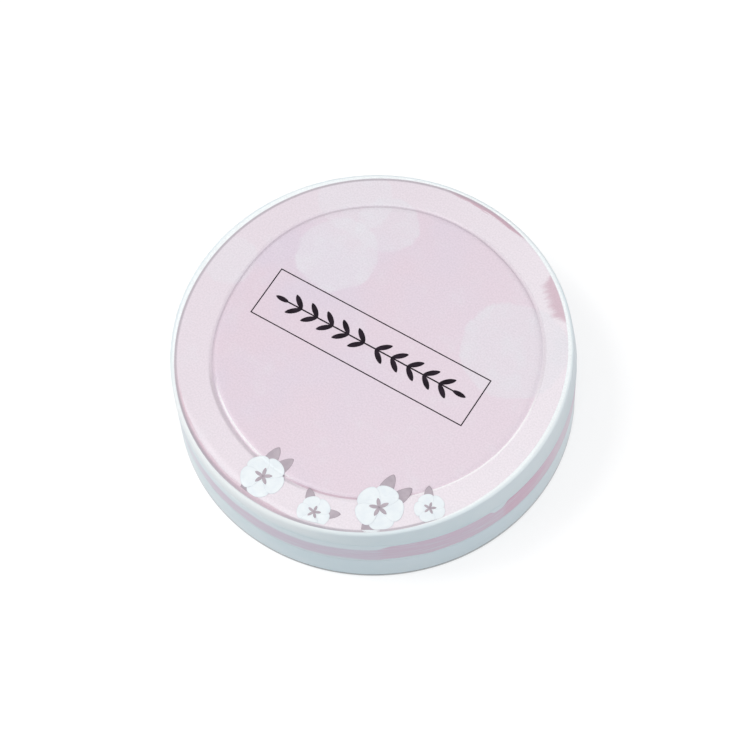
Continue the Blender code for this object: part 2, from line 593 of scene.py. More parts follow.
@dataclass(frozen=True)
class PrintedFilm:
    """The lid's film: grainy pink and lilac paint, paler outside the groove, with pale blots."""

    name: str = "label_print_film"
    pink: Colour = paint(226, 208, 219)
    lilac: Colour = paint(222, 209, 222)
    bright_pink: Colour = paint(231, 215, 225)
    pale: Colour = paint(230, 218, 226)
    bright_pale: Colour = paint(240, 231, 237)
    milk: Colour = paint(230, 227, 233)
    rose: Colour = paint(200, 164, 178)
    ash: Colour = paint(172, 162, 171)
    margin: Colour = paint(246, 250, 251)
    groove: Pair = (-0.10 * MM, 0.55 * MM)
    bright_angle: float = -9.0
    bright_reach: float = 40.0 * MM
    # The fine ash line at the print's edge is print on the first span and a painted shadow of the film's edge
    # on the second, at the front.
    edge_line_and_shadow_spans: tuple[Span, ...] = ((170.0, 112.0, 0.6), (-62.0, 27.0, 0.6))
    ash_line: Rise = (-0.75 * MM, -0.30 * MM, 0.0, 0.75)
    bare_edge: Pair = (-0.12 * MM, 0.12 * MM)
    colour_pitch: float = 19.0 * MM
    colour_range: Pair = (0.38, 0.62)
    cloud_pitch: float = 6.5 * MM
    cloud_milk: Rise = (0.5, 0.8, 0.0, 0.30)
    grain_pitch: float = 0.40 * MM
    grain_height: float = 0.006 * MM
    speckle: Rise = (0.25, 0.75, 0.935, 1.045)
    wash_softness: float = 1.0 * MM
    wash_wander: float = 1.8 * MM
    wash_body: Rise = (0.25, 0.6, 1.0, 0.55)
    stroke_full: float = 0.4
    bristle_pitch: float = 4.5 * MM
    crease_light_full: float = 0.5
    crease_light_core: float = 0.4
    gloss: Pair = (0.42, 0.52)
    washes: tuple[Wash, ...] = (
        Wash(140.0, 25.5 * MM, 9.8 * MM, 0.85),
        Wash(116.0, 31.5 * MM, 7.6 * MM, 0.70),
        Wash(128.0, 38.5 * MM, 9.0 * MM, 0.60),
        Wash(30.0, 31.0 * MM, 12.4 * MM, 0.80),
        Wash(176.0, 40.0 * MM, 6.5 * MM, 0.55),
    )
    strokes: tuple[RimStroke, ...] = (
        RimStroke(248.0, 42.0, 1.25 * MM, 1.2 * MM, 0.60 * MM, 0.62),
        RimStroke(85.3, 17.2, 1.10 * MM, 1.6 * MM, 0.40 * MM, 0.90),
        RimStroke(48.0, 10.0, 3.9 * MM, 4.0 * MM, 2.6 * MM, 0.66, (0.150, 0.8)),
    )
    # Painted light along the groove: the grey lines are painted shade, the white ones painted highlights.
    painted_crease_lights: tuple[PaintedCreaseLight, ...] = (
        PaintedCreaseLight(131.0, 120.0, 0.0, 0.34 * MM, 0.45, paint(172, 162, 171)),
        PaintedCreaseLight(-14.0, 40.0, 0.38 * MM, 0.30 * MM, 1.0, paint(254, 251, 253)),
        PaintedCreaseLight(-111.0, 28.0, -0.28 * MM, 0.28 * MM, 1.0, paint(254, 251, 253)),
        PaintedCreaseLight(-112.0, 34.0, 0.60 * MM, 0.60 * MM, 0.42, paint(172, 158, 168)),
        PaintedCreaseLight(-66.0, 27.0, 0.0, 0.30 * MM, 0.60, paint(186, 154, 168)),
        PaintedCreaseLight(47.0, 49.0, 0.42 * MM, 0.42 * MM, 0.48, paint(204, 192, 201)),
    )

    def make(self) -> bpy.types.Material:
        """Build the material.

        Returns:
            The material.
        """
        recipe = Recipe(self.name)
        flat = recipe.flattened(recipe.place())
        cloud = recipe.noise(flat, self.cloud_pitch, detail=4.0, roughness=0.55)
        grain = recipe.noise(flat, self.grain_pitch, roughness=0.6)
        tint = recipe.between(recipe.noise(flat, self.colour_pitch, detail=3.0), *self.colour_range)
        bright = recipe.between(recipe.along(flat, self.bright_angle), -self.bright_reach, self.bright_reach)
        disc = recipe.over(bright, recipe.over(tint, self.pink, self.lilac), self.bright_pink)
        ring = recipe.over(bright, self.pale, self.bright_pale)
        crease = recipe.value_of("crease")
        colour = recipe.over(recipe.between(crease, *self.groove), disc, ring)
        colour = recipe.over(recipe.between(cloud, *self.cloud_milk), colour, self.milk)
        colour = self.with_washes(recipe, flat, cloud, colour)
        colour = self.with_painted_crease_lights(recipe, flat, crease, colour)
        colour = self.with_edge(recipe, flat, colour)
        colour = recipe.over(1.0, colour, recipe.between(grain, *self.speckle), Blend.MULTIPLY)
        recipe.set(Base_Color=colour, Roughness=recipe.between(cloud, *NOISE_BODY, *self.gloss))
        recipe.relief(grain, self.grain_height)
        return recipe.material

    def with_washes(self, recipe: Recipe, flat: Socket, cloud: Socket, colour: Socket) -> Socket:
        """Lay the pale blots on, each with a wandering edge and an uneven body.

        Args:
            recipe: The material so far.
            flat: The place on the lid.
            cloud: The noise that bends the edges.
            colour: The colour below.

        Returns:
            The colour with the blots.
        """
        wander = recipe.stray(cloud, 2.0 * self.wash_wander)
        body = recipe.between(cloud, *self.wash_body)
        for wash in self.washes:
            reach = recipe.maths("ADD", recipe.away_from(flat, wash.centre()), wander)
            inside = recipe.between(reach, wash.radius, wash.radius - self.wash_softness, 0.0, wash.strength)
            colour = recipe.over(recipe.product(inside, body), colour, self.milk)
        return colour

    def with_painted_crease_lights(self, recipe: Recipe, flat: Socket, crease: Socket, colour: Socket) -> Socket:
        """Paint shade and highlights along the groove: grey lines are painted shade, white ones painted
        highlights.

        Args:
            recipe: The material so far.
            flat: The place on the lid.
            crease: The distance outwards from the groove's line.
            colour: The colour below.

        Returns:
            The colour with the lines.
        """
        # Each grey line is painted shade and each white one a painted highlight.
        for crease_light in self.painted_crease_lights:
            beside = recipe.span(flat, crease_light.angle, crease_light.half_angle, self.crease_light_full, 0.0, crease_light.strength)
            off_line = recipe.maths("ABSOLUTE", recipe.maths("SUBTRACT", crease, crease_light.offset))
            line = recipe.between(off_line, crease_light.half_width, self.crease_light_core * crease_light.half_width)
            colour = recipe.over(recipe.product(beside, line), colour, crease_light.colour)
        return colour

    def with_edge(self, recipe: Recipe, flat: Socket, colour: Socket) -> Socket:
        """Lay on the broken rose strokes at the edge, the fine ash line, partly a painted edge shadow, and
        the bare margin.

        A stroke's bristles are noise drawn out along the edge or across it. They move its inner border in
        and out, and the border runs out to the print's edge at the stroke's two ends.

        Args:
            recipe: The material so far.
            flat: The place on the lid.
            colour: The colour below.

        Returns:
            The colour with the edge.
        """
        beyond = recipe.value_of("beyond")
        radius = recipe.away_from(flat)
        for stroke in self.strokes:
            way = recipe.rolled_out(flat, radius, *stroke.bristles)
            bristles = recipe.noise(way, self.bristle_pitch, detail=4.0, roughness=0.6)
            strayed = recipe.maths("ADD", beyond, recipe.stray(bristles, stroke.grit))
            border = recipe.span(flat, stroke.angle, stroke.half_angle, self.stroke_full, 0.0, -stroke.depth)
            ahead = recipe.maths("SUBTRACT", strayed, border)
            share = recipe.between(ahead, 0.0, stroke.softness, 0.0, stroke.strength)
            colour = recipe.over(share, colour, self.rose)
        # The fine ash line: print on the back and left, a painted shadow of the film's edge at the front.
        fine = recipe.between(beyond, *self.ash_line)
        for span in self.edge_line_and_shadow_spans:
            colour = recipe.over(recipe.product(fine, recipe.span(flat, *span)), colour, self.ash)
        return recipe.over(recipe.between(beyond, *self.bare_edge), colour, self.margin)


@dataclass(frozen=True)
class PaintedBand:
    """The waist film: white with a brushed stripe of mauve, a second stroke over it and a rose one on top.

    The stripe's borders are given for the first stroke, then for the second. They stray from these levels:
    each stray has its size, then its noise's pitch, detail and roughness.
    """

    name: str = "band_print_film"
    white: Colour = paint(237, 243, 246)
    mauve: Colour = paint(229, 209, 223)
    rose: Colour = paint(231, 190, 208)
    deep: Colour = paint(198, 146, 171)
    upper: Pair = (14.70 * MM, 16.15 * MM)
    lower: Pair = (8.35 * MM, 8.85 * MM)
    softness: Pair = (0.12 * MM, 1.3 * MM)
    strays: tuple[tuple[float, ...], ...] = ((1.1 * MM, 14.0 * MM, 1.0, 0.5), (0.6 * MM, 2.2 * MM, 3.0, 0.7))
    thin_span: Span = (-100.0, 57.0, 0.56)
    second_span: Span = (8.0, 66.0, 0.95)
    second_strength: float = 0.35
    border_span: Span = (8.0, 66.0, 0.92)
    rose_span: Span = (25.0, 46.0, 0.935)
    notch_span: Span = (-21.0, 3.2, 0.0)
    notch_depth: float = 1.6 * MM
    faint_spans: tuple[tuple[Span, float], ...] = (((30.0, 40.0, 0.4), 0.6), ((-141.0, 32.0, 0.45), 0.3))
    streak_pitch: float = 9.0 * MM
    streak_squeeze: float = 14.0
    streak_white: Rise = (0.45, 0.75, 0.0, 0.45)
    rim_shade: Rise = (0.7 * MM, 0.0, 0.0, 0.55)
    grain_pitch: float = 0.5 * MM
    grain_height: float = 0.004 * MM
    gloss: Pair = (0.36, 0.46)

    def make(self) -> bpy.types.Material:
        """Build the material.

        Returns:
            The material.
        """
        recipe = Recipe(self.name)
        place = recipe.place()
        flat = recipe.flattened(place)
        height = recipe.height(place)
        notch = recipe.span(flat, *self.notch_span, 0.0, self.notch_depth)
        upper = recipe.maths("SUBTRACT", self.border(recipe, flat, self.upper, 0.0), notch)
        below = recipe.maths("SUBTRACT", upper, height)
        above = recipe.maths("SUBTRACT", height, self.border(recipe, flat, self.lower, 1.0))
        softness = recipe.span(flat, *self.thin_span, *self.softness)
        inside = recipe.between(recipe.maths("MINIMUM", below, above), 0.0, softness)
        for span, strength in self.faint_spans:
            inside = recipe.product(inside, recipe.span(flat, *span, 1.0, strength))
        rosy = recipe.span(flat, *self.rose_span)
        squeezed = recipe.stretched(place, (1.0, 1.0, self.streak_squeeze))
        streaks = recipe.noise(squeezed, self.streak_pitch, detail=4.0, roughness=0.6)
        second = recipe.span(flat, *self.second_span, 0.0, self.second_strength)
        colour = recipe.over(recipe.maths("MAXIMUM", rosy, second), self.mauve, self.rose)
        colour = recipe.over(recipe.between(streaks, *self.streak_white), colour, self.white)
        rim = recipe.between(below, *self.rim_shade)
        colour = recipe.over(recipe.product(rim, rosy), colour, self.deep)
        recipe.set(
            Base_Color=recipe.over(inside, self.white, colour),
            Roughness=recipe.between(streaks, *NOISE_BODY, *self.gloss),
        )
        recipe.relief(recipe.noise(place, self.grain_pitch), self.grain_height)
        return recipe.material

    def border(self, recipe: Recipe, flat: Socket, levels: Pair, shift: float) -> Socket:
        """Height of one of the stripe's borders, which strays slowly and quickly from its level.

        Args:
            recipe: The material so far.
            flat: The place round the axis.
            levels: Its level in the first stroke and in the second.
            shift: Moves the noise, so that two borders differ.

        Returns:
            The height, in metres.
        """
        moved = recipe.vector_maths("ADD", flat, (0.0, 0.0, shift))["Vector"]
        height = recipe.span(flat, *self.border_span, *levels)
        for size, *blots in self.strays:
            height = recipe.maths("ADD", height, recipe.stray(recipe.noise(moved, *blots), size))
        return height


@dataclass(frozen=True)
class PrintInk:
    """A layer of ink on the film, thinner in places, with a fine edge line of its own colour."""

    name: str
    full: Colour
    thin: Colour
    rim: Colour
    rim_start: float = 0.93
    pitch: float = 2.4 * MM
    thin_range: Pair = (0.35, 0.7)
    gloss: Pair = (0.48, 0.56)
    shine: float = 0.12

    def make(self) -> bpy.types.Material:
        """Build the material.

        Returns:
            The material.
        """
        recipe = Recipe(self.name)
        pool = recipe.noise(recipe.place(), self.pitch, detail=4.0, roughness=0.6)
        colour = recipe.over(recipe.between(pool, *self.thin_range), self.full, self.thin)
        rim = recipe.between(recipe.value_of("reach"), self.rim_start, 1.0)
        recipe.set(
            Base_Color=recipe.over(rim, colour, self.rim),
            Roughness=recipe.between(pool, *NOISE_BODY, *self.gloss),
            Specular_IOR_Level=self.shine,
        )
        return recipe.material


@dataclass(frozen=True)
class CottonFleece:
    """Soft unwoven cotton: matted fibres and pressed dots, with painted shade in the dots and the fibres'
    hollows.
    """

    name: str = "cotton_fleece"
    base: Colour = paint(248, 247, 243)
    shade_and_tuft_tone: Colour = paint(234, 232, 227)
    fibre_pitch: float = 1.4 * MM
    fibre_squeeze: float = 7.0
    fibre_height: float = 0.06 * MM
    fibre_shade: Rise = (0.7, 0.35, 0.0, 0.6)
    pressed_shade_share: float = 0.55
    tuft_pitch: float = 5.0 * MM
    tuft_hollow: Rise = (0.4, 0.7, 0.0, 0.3)
    gloss: Pair = (0.98, 0.88)
    sheen: float = 0.25
    sheen_roughness: float = 0.6

    def make(self) -> bpy.types.Material:
        """Build the material.

        Returns:
            The material.
        """
        recipe = Recipe(self.name)
        place = recipe.place()
        squeezes = ((1.0, self.fibre_squeeze, 1.0), (self.fibre_squeeze, 1.0, 1.0))
        ways = [recipe.stretched(place, squeeze) for squeeze in squeezes]
        strands = [recipe.noise(way, self.fibre_pitch, detail=5.0, roughness=0.65) for way in ways]
        fibres = recipe.maths("MAXIMUM", *strands)
        tufts = recipe.noise(place, self.tuft_pitch, detail=3.0)
        # Painted shade: darker in the pressed dots and where the fibres' relief is low; the tufts vary the
        # tone at random.
        pressed = recipe.product(recipe.value_of("pressed"), self.pressed_shade_share)
        colour = recipe.over(recipe.between(fibres, *self.fibre_shade), self.base, self.shade_and_tuft_tone)
        colour = recipe.over(pressed, colour, self.shade_and_tuft_tone)
        recipe.set(
            Base_Color=recipe.over(recipe.between(tufts, *self.tuft_hollow), colour, self.shade_and_tuft_tone),
            Roughness=recipe.between(fibres, *NOISE_BODY, *self.gloss),
            Sheen_Weight=self.sheen,
            Sheen_Roughness=self.sheen_roughness,
        )
        recipe.relief(fibres, self.fibre_height)
        return recipe.material


@dataclass(frozen=True)
class PaleFloor:
    """A pale studio floor. The camera sees it white with the case's shadow on it, and a painted contact
    shadow round the case's foot.
    """

    name: str = "pale_floor"
    bounce: Colour = (0.39, 0.445, 0.475)
    shown: Colour = (0.38, 0.38, 0.38)
    lift: float = 0.70
    grain_pitch: float = 20.0 * MM
    grain_range: Pair = (0.99, 1.0)
    roughness: float = 0.9
    contact_shadow_reach: float = 0.5 * MM
    contact_shadow_power: float = 2.4

    def make(self) -> bpy.types.Material:
        """Build the material.

        Returns:
            The material.
        """
        recipe = Recipe(self.name)
        seen = recipe.seen()
        noise = recipe.noise(recipe.place(), self.grain_pitch)
        grain = recipe.between(noise, *NOISE_BODY, *self.grain_range)
        colour = recipe.over(seen, self.bounce, self.shown)
        # Painted contact shadow: the floor's glow is dimmed by ambient occlusion near the case.
        around = recipe.node("ShaderNodeAmbientOcclusion", {"Distance": self.contact_shadow_reach})
        near = recipe.maths("POWER", around.outputs["AO"], self.contact_shadow_power)
        recipe.set(
            Base_Color=recipe.over(1.0, colour, grain, Blend.MULTIPLY),
            Roughness=self.roughness,
            Specular_IOR_Level=0.0,
            Emission_Color=WHITE,
            Emission_Strength=recipe.product(seen, self.lift, near),
        )
        return recipe.material


# The case


@dataclass(frozen=True)
class Bend:
    """One wave of a ring's line round its middle: size * cos(waves * (a - peak))."""

    waves: int
    size: float
    peak: float

    def at(self, angle: Array) -> Array:
        """How far the line strays at an angle."""
        return self.size * np.cos(self.waves * (angle - math.radians(self.peak)))


@dataclass(frozen=True)
class Swell:
    """A size that grows towards one side: size + growth * exp(tightness * (cos(a - middle) - 1))."""

    size: float
    growth: float
    middle: float
    tightness: float

    def at(self, angle: Array) -> Array:
        """The size at an angle."""
        turn = np.cos(angle - math.radians(self.middle))
        return self.size + self.growth * np.exp(self.tightness * (turn - 1.0))


@dataclass
class CaseSizes:
    """Sizes that the pieces share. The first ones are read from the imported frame."""

    radius: float
    height: float
    skirt_z: float
    neck_top_z: float
    label_radius: float
    band_bottom_z: float
    band_top_z: float
    tissue_radius: float
    rim_fillet: float = 1.2 * MM
    foot_fillet: float = 1.0 * MM
    wall: float = 1.2 * MM
    film: float = 0.2 * MM
    film_seat: float = 0.3 * MM
    groove_radius: float = 36.2 * MM
    rim_round: Swell = Swell(0.75 * MM, 2.85 * MM, -106.0, 6.0)
    rim_inset: Swell = Swell(0.0, 1.0 * MM, -8.0, 2.0)
    inset_start: float = 41.5 * MM
    groove_inner: Swell = Swell(0.40 * MM, 0.48 * MM, -9.0, 2.5)
    groove_outer: Swell = Swell(0.60 * MM, 0.66 * MM, -116.0, 9.0)
    groove_depth: Swell = Swell(0.26 * MM, 0.31 * MM, -116.0, 9.0)
    groove_bottom: float = 0.15
    groove_shift: Pair = (0.80 * MM, 0.50 * MM)
    groove_bends: tuple[Bend, ...] = (
        Bend(3, 0.267 * MM, 14.7),
        Bend(4, 0.133 * MM, 36.5),
        Bend(5, 0.101 * MM, 0.0),
        Bend(6, 0.133 * MM, -21.7),
    )
    shift_reach: Pair = (38.5 * MM, 43.0 * MM)
    neck_clearance: float = 0.3 * MM
    neck_wall: float = 1.1 * MM
    floor_z: float = 1.8 * MM
    foot_recess: float = 0.6 * MM
    foot_ring: float = 4.2 * MM
    seat_depth: float = 0.6 * MM
    round_end: float = 0.999
    tolerance: float = 0.001 * MM
    groove_steps: int = 12
    steps: int = 320

    @classmethod
    def from_frame(cls) -> "CaseSizes":
        """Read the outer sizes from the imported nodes.

        Returns:
            The sizes.
        """
        tub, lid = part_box("base_tub"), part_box("lid_shell")
        band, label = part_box("waist_band"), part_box("lid_label")
        return cls(
            radius=tub[1].x,
            height=lid[1].z,
            skirt_z=lid[0].z,
            neck_top_z=tub[1].z,
            label_radius=label[1].x,
            band_bottom_z=band[0].z,
            band_top_z=band[1].z,
            tissue_radius=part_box("cotton_tissue_01")[1].x,
        )

    def groove_line(self, angle: Array) -> Array:
        """Radius of the groove's bottom about its own middle: the mean radius and its bends."""
        return self.groove_radius + sum(bend.at(angle) for bend in self.groove_bends)

    def crease(self, x: Array, y: Array) -> tuple[Array, Array, Array]:
        """Where points lie across the ring groove: two straight walls that meet in a small round.

        With t from -1 at the top of the inner wall, over 0 at the bottom, to 1 at the end of the outer
        slope, the share of the full depth is 1 - s(t) / s(1), where s(t) = sqrt(t ** 2 + b ** 2) - b.

        Args:
            x: Places along X.
            y: Places along Y.

        Returns:
            The distance outwards from the groove's line, the share of its depth, and the full depth.
        """
        radius, angle = polar(x - self.groove_shift[0], y - self.groove_shift[1])
        offset = radius - self.groove_line(angle)
        across = offset / np.where(offset < 0.0, self.groove_inner.at(angle), self.groove_outer.at(angle))
        bottom = self.groove_bottom
        wall = np.hypot(np.clip(across, -1.0, 1.0), bottom) - bottom
        share = 1.0 - wall / (math.hypot(1.0, bottom) - bottom)
        return offset, share, self.groove_depth.at(angle)

    def pressed(self, points: Array) -> Array:
        """Bend a lid face's turned rows along the groove's line, move them off the axis, press them in.

        A row inside the groove keeps its share of the way to it, a row across it keeps its place between
        the groove's borders, and a row outside it goes back to its own circle before the rim.

        Args:
            points: Points turned about the axis.

        Returns:
            The moved points.
        """
        radius, angle = polar(points[:, 0], points[:, 1])
        start, end = self.shift_reach
        line = self.groove_line(angle)
        inner, outer = self.groove_inner.at(angle), self.groove_outer.at(angle)
        inside = self.groove_radius - self.groove_inner.size
        outside = self.groove_radius + self.groove_outer.size
        offset = radius - self.groove_radius
        wide = np.where(offset < 0.0, inner / self.groove_inner.size, outer / self.groove_outer.size)
        moved = np.where(radius < inside, radius * (line - inner) / inside, line + wide * offset)
        settled = radius + ramp(radius, end, outside) * (line + outer - outside)
        x, y = planar(np.where(radius > outside, settled, moved), angle)
        share = eased(ramp(radius, end, start))
        x, y = x + share * self.groove_shift[0], y + share * self.groove_shift[1]
        _, drop, depth = self.crease(x, y)
        return np.stack([x, y, points[:, 2] - drop * depth], axis=1)

    def near_rim(self, radius: Array) -> Array:
        """Share of the way from where the top is first drawn in to the plain rim's round."""
        return ramp(radius, self.inset_start, self.radius - self.rim_fillet)

    def drawn_in(self, radius: Array, angle: Array) -> Array:
        """Radius on the lid's top after its corner is drawn in: r - inset(a) * s(r), s an eased share."""
        return radius - self.rim_inset.at(angle) * eased(self.near_rim(radius))

    def rim_drop(self, radius: Array, angle: Array) -> Array:
        """How far the rim's round lies below the top: f - sqrt(f ** 2 - d ** 2), d past its start.

        Args:
            radius: Distances from the axis.
            angle: Angles round it.

        Returns:
            The drops.
        """
        fillet = self.rim_round.at(angle)
        past = radius - (self.radius - self.rim_inset.at(angle) - fillet)
        return fillet - np.sqrt(fillet**2 - np.clip(past, 0.0, self.round_end * fillet) ** 2)

    def rimmed(self, points: Array) -> Array:
        """Give the lid's turned shell its uneven rim.

        The plain rim is a quarter round of one radius. Its points keep their share of the quarter on a round
        of radius f(a), which is cut where the film's recess begins and whose outer end is drawn in by
        inset(a). The recess goes down with the round, and the outer wall leans from it to its own foot.

        Args:
            points: Points turned about the axis.

        Returns:
            The moved points.
        """
        radius, angle = polar(points[:, 0], points[:, 1])
        z, near = points[:, 2], self.tolerance
        plain, fillet, inset = self.rim_fillet, self.rim_round.at(angle), self.rim_inset.at(angle)
        out, up = radius - (self.radius - plain), z - (self.height - plain)
        on_round = (np.abs(np.hypot(out, up) - plain) < near) & (out > -near) & (up > -near)
        on_wall = (out > 0.5 * plain) & ~on_round
        start = np.arccos(np.clip(1.0 - plain / fillet, 0.0, 1.0))
        turn = np.arctan2(up, out) / (math.pi / 2) * start
        lean = ramp(z, self.skirt_z, self.height - plain)
        on_seat = (z > self.height - self.film_seat - self.seat_depth) & ~on_round & ~on_wall
        moved = np.where(on_seat, self.drawn_in(radius, angle), radius)
        z = np.where(on_seat, z - self.rim_drop(moved, angle), z)
        moved = np.where(on_wall, radius - inset * lean, moved)
        moved = np.where(on_round, self.radius - inset - fillet * (1.0 - np.cos(turn)), moved)
        z = np.where(on_round, self.height - fillet * (1.0 - np.sin(turn)), z)
        return np.stack([*planar(moved, angle), z], axis=1)

    def groove_radii(self, count: int) -> Array:
        """Radii of the rows across the groove, before they are bent.

        Args:
            count: Rows on each of its two walls.

        Returns:
            The radii, inwards to outwards.
        """
        inner = self.groove_radius + self.groove_inner.size * np.linspace(-1.0, 0.0, count, endpoint=False)
        outer = self.groove_radius + self.groove_outer.size * np.linspace(0.0, 1.0, count)
        return np.concatenate([inner, outer])

    def groove_rows(self, level: float) -> Array:
        """Profile rows for the groove on a shell's face at this level, before they are pressed in."""
        return level_rows(self.groove_radii(self.groove_steps), level)


def seat(piece: bpy.types.Object, body: Body, slot: Slot, *nodes: str) -> None:
    """Put a piece on its body, in place of CAD nodes.

    Args:
        piece: The piece.
        body: The body that it moves with.
        slot: The record's slot for the piece; not used.
        nodes: CAD nodes that it stands for.
    """
    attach(piece, body.value)
    if nodes:
        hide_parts(*nodes)
    LOG.info("%s: %d points on %s", piece.name, len(piece.data.vertices), body.value)


@dataclass
class LidShell:
    """The white lid: film recess with the ring groove, rounded rim, and skirt."""

    sizes: CaseSizes
    edge_fillet: float = 0.12 * MM
    edge_drop: float = 0.12 * MM
    border_rows: int = 10
    flat_margin: float = 0.5 * MM

    def profile(self) -> Array:
        """The lid's section: recess with groove, rim round, skirt, and the inside of the same wall.

        Returns:
            (radius, height) rows, down the outer side.
        """
        s = self.sizes
        seat_z = s.height - s.film_seat
        ceiling_z = seat_z - s.wall
        seat_radius = s.radius - s.rim_fillet
        inner = s.radius - s.wall
        edge_z = s.skirt_z - self.edge_drop
        border = np.linspace(s.inset_start, seat_radius, self.border_rows)
        under = s.groove_rows(ceiling_z)[::-1]
        beside = (self.flat_margin, 0.0)
        return profile_of(
            (0.0, seat_z),
            s.groove_rows(seat_z),
            level_rows(border, seat_z),
            arc(seat_radius, s.height - s.rim_fillet, s.rim_fillet, 90, 0, 18),
            arc(s.radius - self.edge_fillet, edge_z + self.edge_fillet, self.edge_fillet, 0, -90, 6),
            arc(inner + self.edge_fillet, edge_z + self.edge_fillet, self.edge_fillet, -90, -180, 6),
            (inner, ceiling_z),
            under[0] + beside,
            under,
            under[-1] - beside,
            (0.0, ceiling_z),
        )

    def build(self) -> None:
        """Make the shell."""
        finish = MouldedWhite("lid_moulding").make()
        surface = turned(self.profile(), self.sizes.steps)
        surface.points = self.sizes.rimmed(self.sizes.pressed(surface.points))
        seat(surface.piece("lid_moulding", finish), Body.LID, Slot.SHELL, "lid_shell")


@dataclass
class LidLabel:
    """The printed film on the lid. It follows the groove, a little unevenly, and laps the rim's round."""

    sizes: CaseSizes
    lap: float = 0.70 * MM
    lap_rise: float = 0.03 * MM
    lap_thickness: float = 0.039 * MM
    print_radius: float = 43.56 * MM
    print_bends: tuple[Bend | Swell, ...] = (
        Bend(1, 0.485 * MM, -149.6),
        Bend(2, 0.511 * MM, 83.9),
        Swell(0.0, 0.28 * MM, -60.0, 9.0),
        Swell(0.0, -0.34 * MM, -92.0, 12.0),
    )
    sag_height: float = 0.010 * MM
    sag_wavelength: float = 14.0 * MM
    sag_seed: int = 11
    inner_rows: int = 48
    across_rows: int = 14
    outer_rows: int = 30
    lap_rows: int = 7
    ink_bridge: float = 0.25
    steps: int = 448

    def uneven(self, x: Array, y: Array) -> Array:
        """Height of the film's slight waves."""
        return self.sag_height * ripples(x, y, self.sag_wavelength, self.sag_seed)

    def over_rim(self, x: Array, y: Array) -> Array:
        """Height of the face over the top's level near the rim: its rise, to stand above the rim, less the
        drop.
        """
        radius, angle = polar(x, y)
        return self.lap_rise * self.sizes.near_rim(radius) - self.sizes.rim_drop(radius, angle)

    def ink_level(self, x: Array, y: Array) -> Array:
        """Height of the film's face as ink follows it: level - bridge * depth * share ** 2 + waves.

        Ink fills the groove a little, so it sinks less than the film does. Near the rim it follows the
        film's lap.

        Args:
            x: Places along X.
            y: Places along Y.

        Returns:
            The heights.
        """
        _, share, depth = self.sizes.crease(x, y)
        bridged = self.ink_bridge * depth * share**2
        return self.sizes.height - bridged + self.uneven(x, y) + self.over_rim(x, y)

    def build(self) -> None:
        """Make the film: its face, its lap over the rim and its back, as one closed sheet."""
        s = self.sizes
        end = s.label_radius + self.lap
        across = s.groove_radii(self.across_rows)
        inner = np.linspace(0.0, across[0], self.inner_rows, endpoint=False)
        outer = np.linspace(across[-1], end, self.outer_rows)[1:]
        section = profile_of(
            level_rows(np.concatenate([inner, across, outer]), 0.0),
            level_rows(np.linspace(end, s.radius - s.rim_fillet, self.lap_rows), -self.lap_thickness),
            level_rows(np.concatenate([[s.label_radius], across[::-1], [0.0]]), -s.film),
        )
        surface = turned(section, self.steps)
        points = s.pressed(surface.points)
        radius, angle = polar(points[:, 0], points[:, 1])
        distance = s.drawn_in(radius, angle)
        x, y = planar(distance, angle)
        z = points[:, 2] + s.height + self.uneven(x, y) + self.over_rim(x, y)
        surface.points = np.stack([x, y, z], axis=1)
        line = self.print_radius + sum(bend.at(angle) for bend in self.print_bends)
        surface.values = {"crease": s.crease(x, y)[0], "beyond": distance - line}
        piece = surface.piece("lid_film", PrintedFilm().make(), crease_degrees=60.0)
        seat(piece, Body.LID, Slot.LABEL, "lid_label")


@dataclass
class Motif:
    """A filled shape of ink in its own plane, before it is laid on the film.

    The shape is a round grid: middle + t * (outline(a) - middle), t from 0 to 1, a once round.
    """

    outline: Array
    middle: Pair
    rings: int

    def laid(self, label: LidLabel, turn: float, place: Pair, rise: float, edge: float) -> Surface:
        """Turn and place the shape on the lid, and give it the film's height.

        Args:
            label: The film below.
            turn: Angle of the shape's X axis, in radians.
            place: Its origin on the lid.
            rise: Height of the ink over the film.
            edge: Radius at which the film ends and cuts the shape.

        Returns:
            The surface, with each point's share of the way to its outline.
        """
        share = np.linspace(0.0, 1.0, self.rings + 1)[1:, None]
        middle = np.array(self.middle)
        steps = len(self.outline)
        ring = (middle + share[..., None] * (self.outline - middle)).reshape(-1, 2)
        local = np.concatenate([ring, middle[None, :]])
        x = place[0] + local[:, 0] * math.cos(turn) - local[:, 1] * math.sin(turn)
        y = place[1] + local[:, 0] * math.sin(turn) + local[:, 1] * math.cos(turn)
        cut = np.minimum(1.0, edge / np.maximum(np.hypot(x, y), MM))
        x, y = x * cut, y * cut
        step = np.arange(steps)
        hub = np.full(steps, self.rings * steps)
        faces = [
            grid_faces(self.rings, steps, True),
            np.stack([hub, step, (step + 1) % steps], axis=1),
        ]
        reach = np.concatenate([np.repeat(share[:, 0], steps), [0.0]])
        points = np.stack([x, y, label.ink_level(x, y) + rise], axis=1)
        return Surface(points, faces, {"reach": reach})


def petal(length: float, width: float, steps: int = 56) -> Motif:
    """A rounded petal from the origin along X, broader towards its tip.

    Its outline is x = length * (0.55 + 0.45 cos a), y = width / 2 * sin a * (1 + 0.3 cos a).

    Args:
        length: From the blossom's middle to the tip.
        width: Across its broadest part.
        steps: Points of the outline.

    Returns:
        The petal.
    """
    angle = np.arange(steps) * math.tau / steps
    x = length * (0.55 + 0.45 * np.cos(angle))
    y = 0.5 * width * np.sin(angle) * (1.0 + 0.3 * np.cos(angle))
    return Motif(np.stack([x, y], axis=1), (0.6 * length, 0.0), rings=34)


